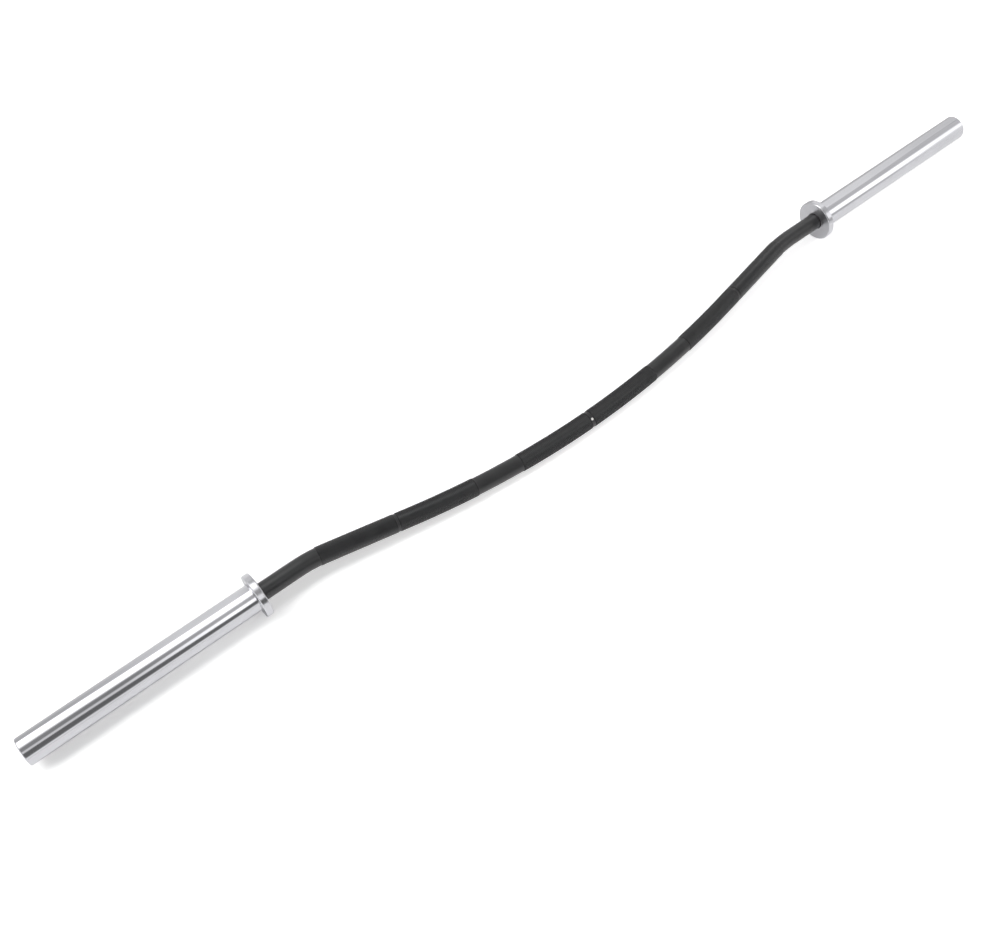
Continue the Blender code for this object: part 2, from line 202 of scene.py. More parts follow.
# Studio panels: their fineness, how high they lie where they run along the floor, and
# each one's stations, (x, low angle, high angle, level), as hang_panel takes them
PANEL_ROW = 0.05
PANEL_STRIPS = 24
FLOOR_GAP = 0.001
TOP_STATIONS = (
    (-4.4, 86, 122, 1.3),
    (-2.2, 86, 122, 1.2),
    (-1.0, 86, 122, 0.5),
    (1.6, 86, 122, 0.35),
)
KEY_STATIONS = (
    (-2.3, 90, 163, 1.0),
    (-1.37, 90, 161, 1.0),
    (-1.21, 88, 155, 1.0),
    (-0.99, 83, 143, 1.0),
    (-0.76, 80, 136, 1.0),
    (-0.47, 78, 132, 1.0),
    (1.6, 72, 120, 1.0),
)
FRONT_STATIONS = (
    (-2.2, 52, 74, 0.45),
    (-1.37, 50, 72, 0.49),
    (-1.21, 48, 71, 0.49),
    (-0.99, 42, 67, 0.5),
    (-0.76, 36, 66, 0.8),
    (-0.58, 31, 65, 1.05),
    (-0.47, 30, 65, 1.1),
    (2.57, 22, 71, 1.16),
    (2.73, 21, 71, 1.18),
    (2.96, 20, 73, 1.15),
    (3.18, 24, 75, 1.05),
    (3.45, 28, 78, 0.9),
    (4.8, 30, 80, 0.8),
)
FLAG_STATIONS = (
    (-3.0, 12, 64, 0.17),
    (-1.37, 11, 62, 0.17),
    (-1.21, 10, 61, 0.17),
    (-0.99, 7, 53, 0.17),
    (-0.76, 6, 44, 0.17),
    (-0.47, 5, 40, 0.17),
    (2.57, 8, 33, 0.56),
    (2.96, 9, 30, 0.6),
    (3.18, 11, 24, 0.78),
    (3.45, 13, 16, 1.0),
)
CEILING_STATIONS = (
    (-3.0, 60, 130, 0.33),
    (-1.37, 60, 128, 0.33),
    (-1.21, 60, 127, 0.31),
    (-0.99, 58, 118, 0.29),
    (-0.76, 58, 112, 0.46),
    (-0.58, 58, 111, 0.62),
    (-0.47, 58, 110, 0.64),
    (2.57, 60, 106, 0.68),
    (2.96, 60, 104, 0.7),
    (3.18, 62, 114, 0.7),
    (3.45, 65, 122, 0.71),
    (4.8, 66, 124, 0.8),
)
WALL_STATIONS = (
    (-3.6, 140, 215, 0.55),
    (-1.37, 140, 215, 0.58),
    (-1.21, 136, 215, 0.59),
    (-0.99, 126, 215, 0.74),
    (-0.76, 118, 215, 0.93),
    (-0.47, 115, 215, 1.0),
    (-0.42, 115, 215, 0.62),
    (2.38, 100, 215, 0.62),
    (2.43, 100, 215, 0.98),
    (2.96, 90, 215, 1.0),
    (3.18, 90, 215, 0.98),
    (3.45, 90, 215, 0.82),
    (5.4, 90, 215, 0.7),
)
DARK_STATIONS = (
    (-0.46, 4, 152, 0.06),
    (-0.27, 4, 150, 0.1),
    (-0.18, 4, 130, 0.25),
    (1.0, 4, 126, 0.28),
    (1.5, 4, 112, 0.4),
    (2.0, 4, 106, 0.36),
    (2.3, 4, 104, 0.4),
    (2.44, 4, 104, 0.4),
)
STRIP_STATIONS = (
    (1.1, 106, 128, 0.2),
    (1.3, 108, 130, 1.0),
    (1.55, 108, 130, 2.2),
    (1.75, 108, 130, 3.6),
    (1.95, 108, 130, 2.6),
    (2.15, 105, 124, 1.2),
    (2.44, 104, 122, 1.2),
)

# Each panel's name, its cloth, whose brightness is a setting or else the background's
# white, the shares of it that fade, its stations, its distance from the bar, and
# whether it lights the bar and whether the metal mirrors it
PANELS = (
    ("key_softbox", "key", (0.12, 0.45, 0.24), KEY_STATIONS, 2.4, False, True),
    ("top_softbox", "top", (0.15, 0.35, 0.35), TOP_STATIONS, 2.4, True, False),
    ("front_softbox", "front", (0.08, 0.3, 0.3), FRONT_STATIONS, 2.4, True, True),
    ("front_flag", "flag", (0.05, 0.25, 0.2), FLAG_STATIONS, 2.5, False, True),
    ("ceiling", "ceiling", (0.05, 0.04, 0.3), CEILING_STATIONS, 2.55, False, True),
    ("back_wall", "wall", (0.1, 0.1, 0.05), WALL_STATIONS, 2.6, False, True),
    ("shaft_flag", "dark", (0.02, 0.05, 0.1), DARK_STATIONS, 2.3, False, True),
    ("shaft_strip", "strip", (0.03, 0.3, 0.3), STRIP_STATIONS, 2.25, False, True),
)

# Camera
CAMERA_PLACE = (-0.8318, AXIS_Y - 0.8558, AXIS_Z + 1.7203)
CAMERA_TURN = (math.radians(30.75), 0.0, math.radians(-38.49))
CAMERA_LENS = 41.02
CAMERA_SENSOR = 36.0
CAMERA_REACH = 50.0

SIDES = {"left": -1, "right": 1}


def colour_setting(name, description, default):
    """A colour in the sidebar, from its sRGB hex value."""
    return FloatVectorProperty(
        name=name,
        description=description,
        default=linear(default),
        size=3,
        min=0.0,
        max=1.0,
        subtype="COLOR",
    )


class BarSizes(bpy.types.PropertyGroup):
    """Sizes of the fine forms that don't touch the fit of the parts."""

    knurl_rows: IntProperty(
        name="Knurl rows",
        description="Rows of diamonds round the shaft",
        default=64,
        min=24,
        max=80,
    )
    knurl_angle: FloatProperty(
        name="Knurl angle",
        description="Angle of the knurl's grooves to the bar",
        default=math.radians(30.0),
        min=math.radians(20.0),
        max=math.radians(45.0),
        subtype="ANGLE",
    )
    knurl_depth: FloatProperty(
        name="Knurl depth",
        description="Height of the diamonds over their grooves",
        default=0.00034,
        min=0.0001,
        max=0.0006,
        precision=5,
        unit="LENGTH",
    )
    knurl_flat: FloatProperty(
        name="Knurl flats",
        description="Share of each diamond that its blunt top takes",
        default=54.0,
        min=10.0,
        max=60.0,
        subtype="PERCENTAGE",
    )
    deburring: FloatProperty(
        name="Deburring",
        description="Width of the rounding on turned edges",
        default=0.00018,
        min=0.00005,
        max=0.00025,
        precision=5,
        unit="LENGTH",
    )


class BarFinishes(bpy.types.PropertyGroup):
    """Colours of the bar's finishes."""

    oxide: colour_setting(
        name="Black oxide",
        description="Colour of the shaft",
        default="#282829",
    )
    chrome: colour_setting(
        name="Chrome",
        description="Colour of the sleeves and collars",
        default="#CFCFD3",
    )
    bronze: colour_setting(
        name="Bronze",
        description="Colour of the bushings",
        default="#B4854F",
    )
    zinc: colour_setting(
        name="Zinc plate",
        description="Colour of the end caps and thrust washers",
        default="#B2B3B6",
    )
    spring: colour_setting(
        name="Spring steel",
        description="Colour of the retaining rings",
        default="#444446",
    )
    rubber: colour_setting(
        name="Rubber",
        description="Colour of the dust seals",
        default="#1E1E1E",
    )
    mark: colour_setting(
        name="Centre mark",
        description="Colour of the plug in the middle of the shaft",
        default="#EDECE8",
    )


class BarStudio(bpy.types.PropertyGroup):
    """Light of the studio, where 1 is the white of the background."""

    top: FloatProperty(
        name="Top softbox",
        description="Brightness of the softbox above, to the left, that lights the bar",
        default=6.8,
        min=0.0,
        max=40.0,
    )
    key: FloatProperty(
        name="Back softbox",
        description="Brightness of the large softbox behind, that the metal mirrors",
        default=2.9,
        min=0.0,
        max=10.0,
    )
    front: FloatProperty(
        name="Front softbox",
        description="Brightness of the long softbox in front of the bar",
        default=1.7,
        min=0.0,
        max=10.0,
    )
    ambient: FloatProperty(
        name="Ambient",
        description="Brightness of the white room round the bar",
        default=0.27,
        min=0.0,
        max=2.0,
    )
    paper: colour_setting(
        name="Paper",
        description="Colour of the floor",
        default="#F6F6F6",
    )


def supported(outline):
    """Add a point beside both ends of every long run of an outline.

    They keep the smooth shading of the edges' rounding off the flats between them.
    """
    found = []
    for here, there in zip(outline, outline[1:] + outline[:1]):
        found.append(here)
        length = math.dist(here, there)
        if length > LONG_RUN and here[1] + there[1] > 0:
            for share in (SUPPORT / length, 1 - SUPPORT / length):
                found.append([a + (b - a) * share for a, b in zip(here, there)])
    return found


def lathe(outline, sides=TURNED_SIDES):
    """Turn an (x, radius) outline about the X axis into a closed shell.

    An outline that starts on the axis ends there too, and stays open. Any other
    outline is a closed loop, the section of a ring.
    """
    bm = bmesh.new()
    outline = supported(outline)
    points = [bm.verts.new((x, 0, radius)) for x, radius in outline]
    ends = points[1:] if outline[0][1] == 0 else points[1:] + points[:1]
    edges = [bm.edges.new(pair) for pair in zip(points, ends)]
    bmesh.ops.spin(
        bm,
        geom=points + edges,
        cent=(0, 0, 0),
        axis=(1, 0, 0),
        angle=math.tau,
        steps=sides,
        use_merge=True,
    )
    close(bm)
    return bm


def close(bm):
    """Weld seams and poles, and turn every face outwards."""
    bmesh.ops.remove_doubles(bm, verts=bm.verts, dist=WELD)
    bmesh.ops.recalc_face_normals(bm, faces=bm.faces)


def break_edges(bm, width):
    """Round every crisp edge, as deburring does."""
    crisp = [
        edge
        for edge in bm.edges
        if edge.is_manifold and edge.calc_face_angle() > EDGE_ANGLE
    ]
    bmesh.ops.bevel(
        bm,
        geom=crisp,
        affect="EDGES",
        offset=width,
        offset_type="OFFSET",
        segments=EDGE_STEPS,
        profile=0.5,
        clamp_overlap=True,
        material=-1,
    )


def arc(radius, start, end, steps, centre=(0, 0)):
    """Points of an arc, in degrees, about a centre."""
    found = []
    for step in range(steps + 1):
        angle = math.radians(start + (end - start) * step / steps)
        across = centre[0] + radius * math.cos(angle)
        along = centre[1] + radius * math.sin(angle)
        found.append((across, along))
    return found


def on_axis(bm, side):
    """Move a shape, made with its true x on the X axis, onto the sleeves' axis."""
    turn = Matrix.Rotation(0 if side > 0 else math.pi, 4, "Z")
    matrix = Matrix.Translation((0, AXIS_Y, AXIS_Z)) @ turn
    bmesh.ops.transform(bm, matrix=matrix, verts=bm.verts)


@lru_cache(maxsize=None)
def bent_place(run):
    """Matrix that carries a straight section onto the bent centre line.

    run is the distance along the centre line from its middle, negative on the left.
    """
    side = math.copysign(1, run)
    run = abs(run)
    if run < ARC_LENGTH:
        slope = run / ARC_RADIUS
        along = ARC_RADIUS * math.sin(slope)
        depth = DEPTH - ARC_RADIUS * (1 - math.cos(slope))
    elif run < BEND_START_RUN:
        slope = BEND_ANGLE
        left = BEND_START_RUN - run
        along = BEND_END - BEND_RADIUS * math.sin(slope) - left * math.cos(slope)
        depth = BEND_RADIUS * (1 - math.cos(slope)) + left * math.sin(slope)
    elif run < BEND_END_RUN:
        slope = (BEND_END_RUN - run) / BEND_RADIUS
        along = BEND_END - BEND_RADIUS * math.sin(slope)
        depth = BEND_RADIUS * (1 - math.cos(slope))
    else:
        slope = 0.0
        along = BEND_END + run - BEND_END_RUN
        depth = 0.0
    centre = Vector((side * along, AXIS_Y, AXIS_Z)) + CAMBER_OUT * depth
    turn = Matrix.Rotation(side * slope, 4, CAMBER_NORMAL)
    return Matrix.Translation(centre) @ turn


def bend(bm):
    """Bend a straight shape to the camber; its x is the place along the bar."""
    for vert in bm.verts:
        run = round(vert.co.x, 7)
        vert.co = bent_place(run) @ Vector((0, vert.co.y, vert.co.z))


def link_mesh(bm, name, *materials):
    """Make a bmesh an object of the scene."""
    mesh = bpy.data.meshes.new(name)
    bm.to_mesh(mesh)
    bm.free()
    for material in materials:
        mesh.materials.append(material)
    made = bpy.data.objects.new(name, mesh)
    bpy.context.scene.collection.objects.link(made)
    return made


def finish_piece(bm, name, material, body, nodes):
    """Make a bmesh a piece of the bar that rides on a body and stands for its nodes."""
    piece = link_mesh(bm, name, material)
    piece.data.shade_smooth()
    piece.data.set_sharp_from_angle(angle=SMOOTH_ANGLE)
    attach(piece, body)
    if nodes:
        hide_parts(*nodes)
    return piece


def end_piece(bm, side, part, material, node, body=None):
    """Move a piece, turned for the right end, to either end of the bar and finish it.

    It rides on the body that turns at that end, if no other one is given.
    """
    on_axis(bm, SIDES[side])
    body = body or f"{side}_end"
    finish_piece(bm, f"{side}_{part}", material, body, [f"{side}_{node}"])


def add(tree, kind, sockets=(), **settings):
    """Add a node, set its fields, and set or link its inputs by name or number.

    An input takes a value, a socket, or a node, whose first output is then linked.
    """
    node = tree.nodes.new("ShaderNode" + kind)
    for field, value in settings.items():
        setattr(node, field, value)
    for socket, value in dict(sockets).items():
        if isinstance(value, bpy.types.Node):
            value = value.outputs[0]
        if isinstance(value, bpy.types.NodeSocket):
            tree.links.new(value, node.inputs[socket])
        else:
            node.inputs[socket].default_value = value
    return node


def per_metre(size_mm):
    """Noise scale whose grain has a size in millimetres."""
    return 1000 / size_mm


def rings_per_metre(pitch_mm):
    """Wave scale whose lines repeat at a pitch in millimetres."""
    return math.tau / 20 * 1000 / pitch_mm


def empty_tree(block):
    """Cleared node tree of a new material or world."""
    block.use_nodes = True
    block.node_tree.nodes.clear()
    return block.node_tree


def axis_coordinates(tree, stretch=(1, 1, 1)):
    """Object coordinates measured from the sleeves' axis, and stretched."""
    place = add(tree, "TexCoord").outputs["Object"]
    shift = {"Vector": place, "Location": (0, -AXIS_Y, -AXIS_Z)}
    centred = add(tree, "Mapping", shift)
    return add(tree, "Mapping", {"Vector": centred, "Scale": stretch})


def new_material(name):
    """A new material, its cleared tree and its coordinates."""
    made = bpy.data.materials.new(name)
    tree = empty_tree(made)
    return made, tree, axis_coordinates(tree)


def shade(tree, colour, factor, dark, light):
    """Vary a colour's brightness between two shares of it, by a noise."""
    sockets = {"Value": factor, **NOISE_RANGE, "To Min": dark, "To Max": light}
    level = add(tree, "MapRange", sockets, **SMOOTH)
    return add(
        tree,
        "Mix",
        {MIX_SHARE: 1.0, MIX_ONE: (*colour, 1.0), MIX_OTHER: level},
        data_type="RGBA",
        blend_type="MULTIPLY",
    ).outputs[MIX_RESULT]


def finish_tree(tree, base, polish, reliefs, satin=0.0, inputs=()):
    """End a finish in its shader, with its colour, its roughness and its relief.

    polish is (noise, smoothest, roughest), and each relief (height, depth in
    millimetres, strength), one on top of the other. satin is the roughness that the
    mesh's face attribute adds, and inputs are further ones of the shader.
    """
    factor, smooth, rough = polish
    sockets = {"Value": factor, **NOISE_RANGE, "To Min": smooth, "To Max": rough}
    roughness = add(tree, "MapRange", sockets, **SMOOTH)
    if satin:
        face = add(tree, "Attribute", attribute_name="face").outputs["Fac"]
        sockets = {0: face, 1: satin, 2: roughness}
        roughness = add(tree, "Math", sockets, operation="MULTIPLY_ADD")
    normal = {}
    for height, depth_mm, strength in reliefs:
        sockets = {"Height": height, "Strength": strength, "Distance": depth_mm / 1000}
        normal = {"Normal": add(tree, "Bump", {**sockets, **normal})}
    sockets = {"Base Color": base, "Roughness": roughness, **normal, **dict(inputs)}
    shader = add(tree, "BsdfPrincipled", sockets)
    add(tree, "OutputMaterial", {"Surface": shader})


def black_oxide(name, colour, knurled):
    """Black oxide on rolled steel: an oiled, satin black with a little cloudiness.

    The knurl is coloured a quarter darker all over, and its blunt tips
    are rubbed a touch lighter.
    The plain steel is the rougher one, and stays all on one side of the roughness
    where the denoiser begins to see a surface as matt.
    """
    made, tree, place = new_material(name)
    cloud = add(tree, "TexNoise", {"Vector": place, "Scale": per_metre(22.0), **CLOUDY})
    grain = add(tree, "TexNoise", {"Vector": place, "Scale": per_metre(0.7), **PLAIN})
    # the whole knurled colour is a quarter darker than the plain steel, grooves and
    # tips alike
    knurl_tone = 0.75 if knurled else 1.0
    base = shade(tree, colour, cloud, 0.88 * knurl_tone, 1.14 * knurl_tone)
    if knurled:
        tip = add(tree, "Attribute", attribute_name="tip").outputs["Fac"]
        rubbed = add(tree, "MapRange", {"Value": tip, "From Min": 0.55, "To Max": 0.08})
        base = add(
            tree,
            "Mix",
            {MIX_SHARE: rubbed, MIX_ONE: base, MIX_OTHER: (*linear("#6A6A6E"), 1.0)},
            data_type="RGBA",
        ).outputs[MIX_RESULT]
    specular, smooth, rough = (0.5, 0.16, 0.24) if knurled else (0.6, 0.28, 0.32)
    polish = (cloud, smooth, rough)
    inputs = {"Specular IOR Level": specular}
    finish_tree(tree, base, polish, [(grain, 0.02, 0.6)], inputs=inputs)
    return made


def hard_chrome(name, colour, smooth, rough):
    """Hard chrome on turned steel: a bright mirror, with fine polishing rings.

    The rings run round the sleeves' axis, on the rims and on the faces. They are drawn
    at a pitch of half a millimetre and more, coarser than real ones, so that they show.
    Where a piece's face attribute is 1, the lathe's feed leaves the chrome satin.
    """
    made, tree, place = new_material(name)
    drawn = axis_coordinates(tree, (1, 0.02, 0.02))
    rings = add(tree, "TexNoise", {"Vector": drawn, "Scale": per_metre(0.5), **PLAIN})
    feed = {"Vector": place, "Scale": rings_per_metre(0.9), "Distortion": 0.6}
    wave = add(tree, "TexWave", {**feed, "Detail": 1.0}, **LATHE_RINGS)
    turned = wave.outputs["Fac"]
    waves = add(tree, "TexNoise", {"Vector": place, "Scale": per_metre(60.0), **BROAD})
    lines = add(tree, "Math", {0: rings, 1: turned}, operation="ADD")
    base = shade(tree, colour, waves, 0.97, 1.02)
    polish = (rings, smooth, rough)
    reliefs = [(lines, 0.0012, 0.5), (waves, 0.2, 0.3)]
    finish_tree(tree, base, polish, reliefs, FACE_SATIN, {"Metallic": 1.0})
    return made


def sintered_bronze(colour):
    """Oil-filled sintered bronze: matt and warm, with open pores darkened by oil."""
    made, tree, place = new_material("sintered_bronze")
    pores = add(tree, "TexNoise", {"Vector": place, "Scale": per_metre(0.6), **POROUS})
    stains = add(tree, "TexNoise", {"Vector": place, "Scale": per_metre(9.0), **CLOUDY})
    base = shade(tree, colour, stains, 0.72, 1.08)
    polish = (pores, 0.30, 0.46)
    finish_tree(tree, base, polish, [(pores, 0.02, 0.7)], inputs={"Metallic": 1.0})
    return made


def zinc_plate(colour):
    """Zinc plate on turned steel: cool grey, half bright, with the lathe's rings."""
    made, tree, place = new_material("zinc_plate")
    feed = {"Vector": place, "Scale": rings_per_metre(0.6), "Distortion": 0.8}
    turned = add(tree, "TexWave", feed, **LATHE_RINGS).outputs["Fac"]
    haze = add(tree, "TexNoise", {"Vector": place, "Scale": per_metre(2.5), **CLOUDY})
    base = shade(tree, colour, haze, 0.86, 1.05)
    polish = (haze, 0.28, 0.36)
    finish_tree(tree, base, polish, [(turned, 0.006, 0.5)], inputs={"Metallic": 1.0})
    return made


def phosphated_spring_steel(colour):
    """Phosphated spring steel: dark grey, dry and finely grained from stamping."""
    made, tree, place = new_material("phosphated_spring_steel")
    grain = add(tree, "TexNoise", {"Vector": place, "Scale": per_metre(0.4), **DENSE})
    spots = add(tree, "TexNoise", {"Vector": place, "Scale": per_metre(3.0), **CLOUDY})
    base = shade(tree, colour, spots, 0.8, 1.15)
    polish = (grain, 0.42, 0.58)
    finish_tree(tree, base, polish, [(grain, 0.01, 0.7)], inputs={"Metallic": 0.7})
    return made


def moulded_rubber(colour):
    """Moulded nitrile rubber: matt black, with a faint bloom and a fine grain."""
    made, tree, place = new_material("moulded_rubber")
    bloom = add(tree, "TexNoise", {"Vector": place, "Scale": per_metre(5.0), **CLOUDY})
    grain = add(tree, "TexNoise", {"Vector": place, "Scale": per_metre(0.3), **CLOUDY})
    base = shade(tree, colour, bloom, 0.85, 1.3)
    polish = (grain, 0.62, 0.8)
    inputs = {"Specular IOR Level": 0.4}
    finish_tree(tree, base, polish, [(grain, 0.01, 0.6)], inputs=inputs)
    return made


def white_acetal(colour):
    """Acetal rod: a smooth, slightly waxy white, with a faint mottle."""
    made, tree, place = new_material("white_acetal")
    tone = add(tree, "TexNoise", {"Vector": place, "Scale": per_metre(1.2), **CLOUDY})
    base = shade(tree, colour, tone, 0.95, 1.02)
    polish = (tone, 0.28, 0.4)
    wax = {"Subsurface Weight": 0.15, "Subsurface Radius": (0.0006, 0.0006, 0.0006)}
    finish_tree(tree, base, polish, [(tone, 0.01, 0.4)], inputs=wax)
    return made


def paper_floor(colour):
    """White background paper. It takes the bar's shadow, and ends in pure white.

    Where the eye looks at it, the paper glows with painted light, a little at the
    bar's left end and more at its right one, so the shadow fades. Where a polished
    metal mirrors it, it glows with painted light at the right end only. Far from the
    bar it is white by itself, so the horizon doesn't show.
    """
    made = bpy.data.materials.new("background_paper")
    tree = empty_tree(made)
    place = add(tree, "TexCoord").outputs["Object"]
    path = add(tree, "LightPath").outputs
    eye = path["Is Camera Ray"]
    sockets = {0: path["Is Glossy Ray"], 1: path["Is Transmission Ray"]}
    mirror = add(tree, "Math", sockets, operation="MAXIMUM")
    reach = add(tree, "VectorMath", {0: place}, operation="LENGTH").outputs["Value"]
    sockets = {"Value": reach, "From Min": PAPER_FADE[0], "From Max": PAPER_FADE[1]}
    far = add(tree, "MapRange", sockets, **SMOOTH)
    fibres = add(tree, "TexNoise", {"Vector": place, "Scale": per_metre(3.0), **CLOUDY})
    lit = add(tree, "BsdfDiffuse", {"Color": shade(tree, colour, fibres, 0.99, 1.01)})
    along = {
        "Value": add(tree, "SeparateXYZ", {"Vector": place}).outputs["X"],
        "From Min": -SLEEVE_END,
        "From Max": COLLAR_FACE,
    }
    # Painted light: the paper glows more towards the right collar, for the eye and in
    # the metal's mirror, so the bar's shadow fades there
    painted_lift = 0.0
    for ray, left, right in ((eye, *PAINTED_LIGHT_SEEN), (mirror, *PAINTED_LIGHT_MIRRORED)):
        sockets = {**along, "To Min": left, "To Max": right}
        white = add(tree, "MapRange", sockets, **SMOOTH)
        painted_lift = add(tree, "Math", {0: ray, 1: white, 2: painted_lift}, operation="MULTIPLY_ADD")
    glow = add(tree, "Emission", {"Strength": painted_lift})
    near = add(tree, "AddShader", {0: lit, 1: glow})
    seen = add(tree, "Math", {0: eye, 1: mirror}, operation="MAXIMUM")
    pure = add(tree, "Emission", {"Strength": seen})
    mixed = add(tree, "MixShader", {0: far, 1: near, 2: pure})
    add(tree, "OutputMaterial", {"Surface": mixed})
    made.cycles.emission_sampling = "NONE"
    return made


def lit_cloth(name, strength, feather):
    """Softbox cloth: soft light, by the panel's level, that fades towards its edges.

    feather is the share of the panel that fades: at both ends, below and above.
    """
    made = bpy.data.materials.new(name)
    tree = empty_tree(made)
    place = add(tree, "UVMap", uv_map="UVMap")
    split = add(tree, "SeparateXYZ", {"Vector": place}).outputs
    ends, below, above = feather
    share = 1.0
    for axis, edge, inside in (
        ("X", 0.0, ends),
        ("X", 1.0, 1.0 - ends),
        ("Y", 0.0, below),
        ("Y", 1.0, 1.0 - above),
    ):
        sockets = {"Value": split[axis], "From Min": edge, "From Max": inside}
        fade = add(tree, "MapRange", sockets, **SMOOTH)
        share = add(tree, "Math", {0: fade, 1: share}, operation="MULTIPLY")
    level = add(tree, "Attribute", attribute_name="level").outputs["Fac"]
    light = add(tree, "Math", {0: level, 1: strength}, operation="MULTIPLY")
    glow = add(tree, "Emission", {"Strength": light})
    clear = add(tree, "BsdfTransparent")
    mixed = add(tree, "MixShader", {0: share, 1: clear, 2: glow})
    add(tree, "OutputMaterial", {"Surface": mixed})
    return made


def white_room(ambient):
    """World: white where it is seen or mirrored, and an even soft light elsewhere."""
    world = bpy.data.worlds.new("white_room")
    tree = empty_tree(world)
    path = add(tree, "LightPath").outputs
    seen = path["Is Camera Ray"]
    for ray in (path["Is Glossy Ray"], path["Is Transmission Ray"]):
        seen = add(tree, "Math", {0: seen, 1: ray}, operation="MAXIMUM")
    sockets = {"Value": seen, "To Min": ambient, "To Max": BACKGROUND_WHITE}
    level = add(tree, "MapRange", sockets)
    light = add(tree, "Background", {"Color": (1, 1, 1, 1), "Strength": level})
    add(tree, "OutputWorld", {"Surface": light})
    bpy.context.scene.world = world


def between(stations, x):
    """Low angle, high angle and level of a panel at an X, straight between stations."""
    for before, after in zip(stations, stations[1:]):
        if x <= after[0]:
            break
    share = (x - before[0]) / (after[0] - before[0])
    return [one + (other - one) * share for one, other in zip(before[1:], after[1:])]


def hang_panel(name, cloth, stations, reach, lights, mirrored):
    """Hang a curved panel along the bar, at one distance from it.

    Its stations are (x, low angle, high angle, level). The angles are in degrees about
    the bar, from the horizon in front over the top to the one behind. Where a panel
    would go below the floor, it runs along it towards the bar. A panel may light the
    bar, or be mirrored in its metal, or both.
    """
    start, end = stations[0][0], stations[-1][0]
    rows = round((end - start) / PANEL_ROW)
    bm = bmesh.new()
    bm.loops.layers.uv.new("UVMap")
    bmesh.ops.create_grid(
        bm, x_segments=rows, y_segments=PANEL_STRIPS, size=0.5, calc_uvs=True
    )
    brightness = bm.verts.layers.float.new("level")
    floor = FLOOR_GAP - AXIS_Z
    for vert in bm.verts:
        x = start + (end - start) * (vert.co.x + 0.5)
        low, high, level = between(stations, x)
        angle = math.radians(low + (high - low) * (vert.co.y + 0.5))
        away = reach if reach * math.sin(angle) > floor else floor / math.sin(angle)
        vert[brightness] = level
        vert.co = (x, AXIS_Y - away * math.cos(angle), AXIS_Z + away * math.sin(angle))
    panel = link_mesh(bm, name, cloth)
    panel.visible_camera = False
    panel.visible_shadow = False
    panel.visible_diffuse = lights
    panel.visible_glossy = mirrored


class BAR_OT_stage(bpy.types.Operator):
    """Lay the white paper, hang the softboxes and set the camera"""

    bl_idname = "buffalo_bar.stage"
    bl_label = "Studio"

    def execute(self, context):
        studio = context.scene.bar_studio
        white_room(studio.ambient)

        bm = bmesh.new()
        bmesh.ops.create_grid(
            bm, x_segments=PAPER_CELLS, y_segments=PAPER_CELLS, size=PAPER_HALF
        )
        paper = link_mesh(bm, "paper", paper_floor(studio.paper))

        for name, cloth, feather, stations, reach, lights, mirrored in PANELS:
            strength = getattr(studio, cloth, BACKGROUND_WHITE)
            material = lit_cloth(f"{cloth}_cloth", strength, feather)
            hang_panel(name, material, stations, reach, lights, mirrored)

        lens = bpy.data.cameras.new("camera")
        lens.lens = CAMERA_LENS
        lens.sensor_width = CAMERA_SENSOR
        lens.clip_end = CAMERA_REACH
        camera = bpy.data.objects.new("camera", lens)
        context.scene.collection.objects.link(camera)
        camera.location = CAMERA_PLACE
        camera.rotation_euler = CAMERA_TURN
        context.scene.camera = camera
        context.scene.view_settings.view_transform = "Standard"
        return {"FINISHED"}


def shaft_outline():
    """(place, radius) outline of the straight shaft, from its left end to its right."""
    groove_start, groove_end, _ = turned_size("right_shaft_retaining_ring")
    straight = COLLAR_RUN - COLLAR_FACE
    groove_start += straight - FIT_GAP
    groove_end += straight + FIT_GAP
    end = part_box("shaft")[1].x + straight
    shoulder = COLLAR_RUN + SHOULDER_PLACE
    rows = int(shoulder / SHAFT_ROW)
    half = [(shoulder * row / rows, SHAFT_R) for row in range(rows + 1)]
    half += [
        (shoulder, JOURNAL_R),
        (groove_start, JOURNAL_R),
        (groove_start, SHAFT_GROOVE_R),
        (groove_end, SHAFT_GROOVE_R),
        (groove_end, JOURNAL_R),
        (end - JOURNAL_CHAMFER, JOURNAL_R),
        (end, JOURNAL_R - JOURNAL_CHAMFER),
        (end, 0),
    ]
    return [(-place, radius) for place, radius in reversed(half[1:])] + half


def mark_matrix():
    """Place of the centre mark: on the shaft's axis, X pointing out through it."""
    out = CAMBER_NORMAL * math.cos(MARK_TURN) + CAMBER_OUT * math.sin(MARK_TURN)
    centre = Vector((0, AXIS_Y, AXIS_Z)) + CAMBER_OUT * DEPTH
    turn = out.to_track_quat("X", "Z").to_matrix().to_4x4()
    return Matrix.Translation(centre) @ turn


def drill_mark_hole(shaft):
    """Drill the blind hole of the centre mark, and clear the drill away."""
    radius = MARK_R + FIT_GAP
    floor = SHAFT_R - MARK_DEPTH - FIT_GAP
    top = SHAFT_R + 2 * MARK_DEPTH
    outline = [(floor, 0), (floor, radius), (top, radius), (top, 0)]
    bm = lathe(outline, MARK_SIDES)
    bmesh.ops.transform(bm, matrix=mark_matrix(), verts=bm.verts)
    drill = link_mesh(bm, "drill")

    hole = shaft.modifiers.new("mark_hole", "BOOLEAN")
    hole.operation = "DIFFERENCE"
    hole.solver = "EXACT"
    hole.object = drill
    ready = shaft.evaluated_get(bpy.context.evaluated_depsgraph_get())
    drilled = bpy.data.meshes.new_from_object(ready)
    shaft.modifiers.clear()
    shaft.data = drilled
    bpy.data.objects.remove(drill)


class BAR_OT_shaft(bpy.types.Operator):
    """Turn the straight shaft with its journals, bend it and drill its centre hole"""

    bl_idname = "buffalo_bar.shaft"
    bl_label = "Shaft"

    def execute(self, context):
        bm = lathe(shaft_outline(), SHAFT_SIDES)
        break_edges(bm, context.scene.bar_sizes.deburring)
        bend(bm)
        finish = black_oxide("black_oxide", context.scene.bar_finishes.oxide, False)
        shaft = finish_piece(
            bm, "turned_shaft", finish, "bar", ["shaft"]
        )
        drill_mark_hole(shaft)
        return {"FINISHED"}


